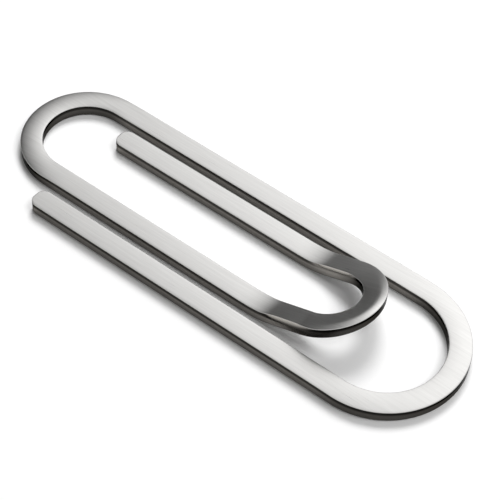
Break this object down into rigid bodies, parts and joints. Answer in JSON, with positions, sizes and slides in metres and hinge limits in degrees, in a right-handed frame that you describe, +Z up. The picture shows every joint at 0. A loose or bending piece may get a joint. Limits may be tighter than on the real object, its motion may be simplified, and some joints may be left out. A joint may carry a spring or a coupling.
{
  "type": "paper clip",
  "caption": "Large paper clip bent from flat brushed steel strip, with a raised tongue inside a long outer loop; grips sheets of paper by its own spring.",
  "frame": {"origin": "middle of the clip's underside, on the surface it lies on", "axes": "+X along the clip towards the large bend, +Y towards the back leg, +Z up"},
  "size_m": [0.1, 0.0318, 0.0092],
  "materials": {
    "steel": "fine brushed satin"
  },
  "bodies": {
    "back_arm": {"back_arm": "steel"},
    "front_arm": {"front_arm": "steel"},
    "middle_arm": {"middle_arm": "steel"},
    "inner_arm": {"inner_arm": "steel"}
  },
  "joints": [
    {"name": "front_arm_flex", "type": "hinge", "parent": "back_arm", "child": "front_arm", "pos_m": [0.04788, 0, 0.0013], "axis": [0, 1, 0], "range_deg": [0, 5], "stiffness_Nm_per_rad": 20},
    {"name": "tongue_lift", "type": "hinge", "parent": "back_arm", "child": "middle_arm", "pos_m": [-0.04788, 0.00319, 0.0013], "axis": [0, -1, 0], "range_deg": [0, 6], "stiffness_Nm_per_rad": 20},
    {"name": "inner_arm_flex", "type": "hinge", "parent": "middle_arm", "child": "inner_arm", "pos_m": [0.03027, 0.0002, 0.00723], "axis": [0, 1, 0], "range_deg": [0, 4], "stiffness_Nm_per_rad": 31}
  ]
}
